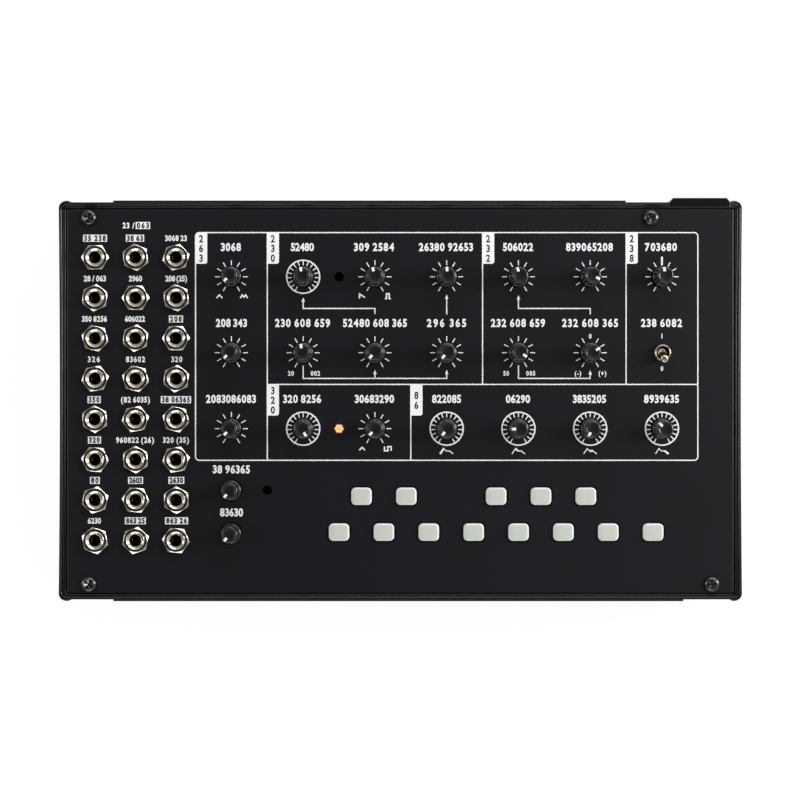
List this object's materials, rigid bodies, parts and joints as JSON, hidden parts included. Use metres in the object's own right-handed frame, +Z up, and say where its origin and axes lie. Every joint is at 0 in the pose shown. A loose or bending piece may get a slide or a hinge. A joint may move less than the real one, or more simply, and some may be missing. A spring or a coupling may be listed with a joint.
{
  "type": "analog synthesizer",
  "caption": "Small analog synthesizer: a black control panel with patch jacks, turning knobs, a toggle and a row of small press keys, in a moulded desk tray.",
  "frame": {"origin": "under the middle of the whole part, on the surface that its feet stand on", "axes": "+X to the player's right, +Y to the back where the power inlet is, +Z up out of the panel"},
  "size_m": [0.2288, 0.135, 0.0517],
  "materials": {
    "painted_aluminium": "fine matt black powder coat with white printed lines",
    "moulded_abs": "black moulded ABS with a fine spark texture",
    "board_laminate": "green solder mask on glass laminate",
    "nickel": "nickel plate, slightly warm",
    "blackened_steel": "black zinc plated steel",
    "foot_rubber": "matt black rubber",
    "knob_plastic": "satin black moulded plastic",
    "key_rubber": "off-white matt silicone",
    "lamp_resin": "clear orange lamp resin, lit",
    "trimmer_plastic": "cream moulded plastic"
  },
  "bodies": {
    "case": {"case_tray": "moulded_abs", "control_board": "board_laminate", "foot_back_left": "foot_rubber", "foot_back_right": "foot_rubber", "foot_front_left": "foot_rubber", "foot_front_right": "foot_rubber", "front_panel": "painted_aluminium", "jack_row_1": "nickel", "jack_row_2": "nickel", "jack_row_3": "nickel", "jack_row_4": "nickel", "jack_row_5": "nickel", "jack_row_6": "nickel", "jack_row_7": "nickel", "jack_row_8": "nickel", "led": "lamp_resin", "panel_screw_back_left": "blackened_steel", "panel_screw_back_right": "blackened_steel", "panel_screw_front_left": "blackened_steel", "panel_screw_front_right": "blackened_steel", "power_inlet": "moulded_abs", "toggle_body": "nickel"},
    "key_natural_1_body": {"key_natural_1": "key_rubber"},
    "key_natural_2_body": {"key_natural_2": "key_rubber"},
    "key_natural_3_body": {"key_natural_3": "key_rubber"},
    "key_natural_4_body": {"key_natural_4": "key_rubber"},
    "key_natural_5_body": {"key_natural_5": "key_rubber"},
    "key_natural_6_body": {"key_natural_6": "key_rubber"},
    "key_natural_7_body": {"key_natural_7": "key_rubber"},
    "key_natural_8_body": {"key_natural_8": "key_rubber"},
    "key_sharp_1_body": {"key_sharp_1": "key_rubber"},
    "key_sharp_2_body": {"key_sharp_2": "key_rubber"},
    "key_sharp_3_body": {"key_sharp_3": "key_rubber"},
    "key_sharp_4_body": {"key_sharp_4": "key_rubber"},
    "key_sharp_5_body": {"key_sharp_5": "key_rubber"},
    "knob_lower_1_body": {"knob_lower_1": "knob_plastic"},
    "knob_lower_2_body": {"knob_lower_2": "knob_plastic"},
    "knob_r1_c1_body": {"knob_r1_c1": "knob_plastic"},
    "knob_r1_c2_body": {"knob_r1_c2": "knob_plastic"},
    "knob_r1_c3_body": {"knob_r1_c3": "knob_plastic"},
    "knob_r1_c4_body": {"knob_r1_c4": "knob_plastic"},
    "knob_r1_c5_body": {"knob_r1_c5": "knob_plastic"},
    "knob_r1_c6_body": {"knob_r1_c6": "knob_plastic"},
    "knob_r1_c7_body": {"knob_r1_c7": "knob_plastic"},
    "knob_r2_c1_body": {"knob_r2_c1": "knob_plastic"},
    "knob_r2_c2_body": {"knob_r2_c2": "knob_plastic"},
    "knob_r2_c3_body": {"knob_r2_c3": "knob_plastic"},
    "knob_r2_c4_body": {"knob_r2_c4": "knob_plastic"},
    "knob_r2_c5_body": {"knob_r2_c5": "knob_plastic"},
    "knob_r2_c6_body": {"knob_r2_c6": "knob_plastic"},
    "knob_r3_c1_body": {"knob_r3_c1": "knob_plastic"},
    "knob_r3_c2_body": {"knob_r3_c2": "knob_plastic"},
    "knob_r3_c3_body": {"knob_r3_c3": "knob_plastic"},
    "knob_r3_c4_body": {"knob_r3_c4": "knob_plastic"},
    "knob_r3_c5_body": {"knob_r3_c5": "knob_plastic"},
    "knob_r3_c6_body": {"knob_r3_c6": "knob_plastic"},
    "knob_r3_c7_body": {"knob_r3_c7": "knob_plastic"},
    "toggle_lever_body": {"toggle_lever": "nickel"},
    "trimmer_rotor_1_body": {"trimmer_rotor_1": "trimmer_plastic"},
    "trimmer_rotor_2_body": {"trimmer_rotor_2": "trimmer_plastic"}
  },
  "joints": [
    {"name": "toggle_lever_flip", "type": "hinge", "parent": "case", "child": "toggle_lever_body", "pos_m": [0.0875, 0.01572, 0.0391], "axis": [-1, 0, 0], "range_deg": [0, 25]},
    {"name": "knob_r1_c2_turn", "type": "hinge", "parent": "case", "child": "knob_r1_c2_body", "pos_m": [-0.0325, 0.04113, 0.0397], "axis": [0, 0, -1], "range_deg": [-140, 160]},
    {"name": "knob_r1_c6_turn", "type": "hinge", "parent": "case", "child": "knob_r1_c6_body", "pos_m": [0.0635, 0.04113, 0.0397], "axis": [0, 0, -1], "range_deg": [-270, 30]},
    {"name": "knob_r2_c1_turn", "type": "hinge", "parent": "case", "child": "knob_r2_c1_body", "pos_m": [-0.0565, 0.01572, 0.0397], "axis": [0, 0, -1], "range_deg": [-10, 290]},
    {"name": "knob_r2_c5_turn", "type": "hinge", "parent": "case", "child": "knob_r2_c5_body", "pos_m": [0.0395, 0.01572, 0.0397], "axis": [0, 0, -1], "range_deg": [-275, 25]},
    {"name": "knob_r3_c2_turn", "type": "hinge", "parent": "case", "child": "knob_r3_c2_body", "pos_m": [-0.0325, -0.00967, 0.0397], "axis": [0, 0, -1], "range_deg": [-300, 0]},
    {"name": "knob_r3_c5_turn", "type": "hinge", "parent": "case", "child": "knob_r3_c5_body", "pos_m": [0.0395, -0.00967, 0.0397], "axis": [0, 0, -1], "range_deg": [-60, 240]},
    {"name": "knob_r3_c6_turn", "type": "hinge", "parent": "case", "child": "knob_r3_c6_body", "pos_m": [0.0635, -0.00967, 0.0397], "axis": [0, 0, -1], "range_deg": [0, 300]},
    {"name": "knob_lower_1_turn", "type": "hinge", "parent": "case", "child": "knob_lower_1_body", "pos_m": [-0.0565, -0.03027, 0.0397], "axis": [0, 0, -1], "range_deg": [-10, 290]},
    {"name": "knob_r1_c1_turn", "type": "hinge", "parent": "case", "child": "knob_r1_c1_body", "pos_m": [-0.0565, 0.04113, 0.0397], "axis": [0, 0, -1], "range_deg": [-10, 290]},
    {"name": "key_natural_1_press", "type": "slide", "parent": "case", "child": "key_natural_1_body", "axis": [0, 0, -1], "range_m": [0, 0.0008], "stiffness_N_per_m": 500},
    {"name": "key_sharp_1_press", "type": "slide", "parent": "case", "child": "key_sharp_1_body", "axis": [0, 0, -1], "range_m": [0, 0.0008], "stiffness_N_per_m": 500},
    {"name": "key_natural_8_press", "type": "slide", "parent": "case", "child": "key_natural_8_body", "axis": [0, 0, -1], "range_m": [0, 0.0008], "stiffness_N_per_m": 500},
    {"name": "trimmer_rotor_1_turn", "type": "hinge", "parent": "case", "child": "trimmer_rotor_1_body", "pos_m": [-0.0205, 0.04113, 0.0397], "axis": [0, 0, -1], "range_deg": [-130, 130]},
    {"name": "trimmer_rotor_2_turn", "type": "hinge", "parent": "case", "child": "trimmer_rotor_2_body", "pos_m": [-0.0445, -0.03027, 0.0397], "axis": [0, 0, -1], "range_deg": [-130, 130]},
    {"name": "knob_lower_2_turn", "type": "hinge", "parent": "case", "child": "knob_lower_2_body", "pos_m": [-0.0565, -0.04467, 0.0397], "axis": [0, 0, -1], "range_deg": [-10, 290]},
    {"name": "knob_r1_c3_turn", "type": "hinge", "parent": "case", "child": "knob_r1_c3_body", "pos_m": [-0.0085, 0.04113, 0.0397], "axis": [0, 0, -1], "range_deg": [-135, 165]},
    {"name": "knob_r1_c4_turn", "type": "hinge", "parent": "case", "child": "knob_r1_c4_body", "pos_m": [0.0155, 0.04113, 0.0397], "axis": [0, 0, -1], "range_deg": [-147, 153]},
    {"name": "knob_r1_c5_turn", "type": "hinge", "parent": "case", "child": "knob_r1_c5_body", "pos_m": [0.0395, 0.04113, 0.0397], "axis": [0, 0, -1], "range_deg": [-130, 170]},
    {"name": "knob_r1_c7_turn", "type": "hinge", "parent": "case", "child": "knob_r1_c7_body", "pos_m": [0.0875, 0.04113, 0.0397], "axis": [0, 0, -1], "range_deg": [-140, 160]},
    {"name": "knob_r2_c2_turn", "type": "hinge", "parent": "case", "child": "knob_r2_c2_body", "pos_m": [-0.0325, 0.01572, 0.0397], "axis": [0, 0, -1], "range_deg": [-142, 158]},
    {"name": "knob_r2_c3_turn", "type": "hinge", "parent": "case", "child": "knob_r2_c3_body", "pos_m": [-0.0085, 0.01572, 0.0397], "axis": [0, 0, -1], "range_deg": [-10, 290]},
    {"name": "knob_r2_c4_turn", "type": "hinge", "parent": "case", "child": "knob_r2_c4_body", "pos_m": [0.0155, 0.01572, 0.0397], "axis": [0, 0, -1], "range_deg": [-10, 290]},
    {"name": "knob_r2_c6_turn", "type": "hinge", "parent": "case", "child": "knob_r2_c6_body", "pos_m": [0.0635, 0.01572, 0.0397], "axis": [0, 0, -1], "range_deg": [-210, 90]},
    {"name": "knob_r3_c1_turn", "type": "hinge", "parent": "case", "child": "knob_r3_c1_body", "pos_m": [-0.0565, -0.00967, 0.0397], "axis": [0, 0, -1], "range_deg": [-10, 290]},
    {"name": "knob_r3_c3_turn", "type": "hinge", "parent": "case", "child": "knob_r3_c3_body", "pos_m": [-0.0085, -0.00967, 0.0397], "axis": [0, 0, -1], "range_deg": [-10, 290]},
    {"name": "knob_r3_c4_turn", "type": "hinge", "parent": "case", "child": "knob_r3_c4_body", "pos_m": [0.0155, -0.00967, 0.0397], "axis": [0, 0, -1], "range_deg": [-10, 290]},
    {"name": "knob_r3_c7_turn", "type": "hinge", "parent": "case", "child": "knob_r3_c7_body", "pos_m": [0.0875, -0.00967, 0.0397], "axis": [0, 0, -1], "range_deg": [-105, 195]},
    {"name": "key_natural_2_press", "type": "slide", "parent": "case", "child": "key_natural_2_body", "axis": [0, 0, -1], "range_m": [0, 0.0008], "stiffness_N_per_m": 500},
    {"name": "key_natural_3_press", "type": "slide", "parent": "case", "child": "key_natural_3_body", "axis": [0, 0, -1], "range_m": [0, 0.0008], "stiffness_N_per_m": 500},
    {"name": "key_natural_4_press", "type": "slide", "parent": "case", "child": "key_natural_4_body", "axis": [0, 0, -1], "range_m": [0, 0.0008], "stiffness_N_per_m": 500},
    {"name": "key_natural_5_press", "type": "slide", "parent": "case", "child": "key_natural_5_body", "axis": [0, 0, -1], "range_m": [0, 0.0008], "stiffness_N_per_m": 500},
    {"name": "key_natural_6_press", "type": "slide", "parent": "case", "child": "key_natural_6_body", "axis": [0, 0, -1], "range_m": [0, 0.0008], "stiffness_N_per_m": 500},
    {"name": "key_natural_7_press", "type": "slide", "parent": "case", "child": "key_natural_7_body", "axis": [0, 0, -1], "range_m": [0, 0.0008], "stiffness_N_per_m": 500},
    {"name": "key_sharp_2_press", "type": "slide", "parent": "case", "child": "key_sharp_2_body", "axis": [0, 0, -1], "range_m": [0, 0.0008], "stiffness_N_per_m": 500},
    {"name": "key_sharp_3_press", "type": "slide", "parent": "case", "child": "key_sharp_3_body", "axis": [0, 0, -1], "range_m": [0, 0.0008], "stiffness_N_per_m": 500},
    {"name": "key_sharp_4_press", "type": "slide", "parent": "case", "child": "key_sharp_4_body", "axis": [0, 0, -1], "range_m": [0, 0.0008], "stiffness_N_per_m": 500},
    {"name": "key_sharp_5_press", "type": "slide", "parent": "case", "child": "key_sharp_5_body", "axis": [0, 0, -1], "range_m": [0, 0.0008], "stiffness_N_per_m": 500}
  ]
}
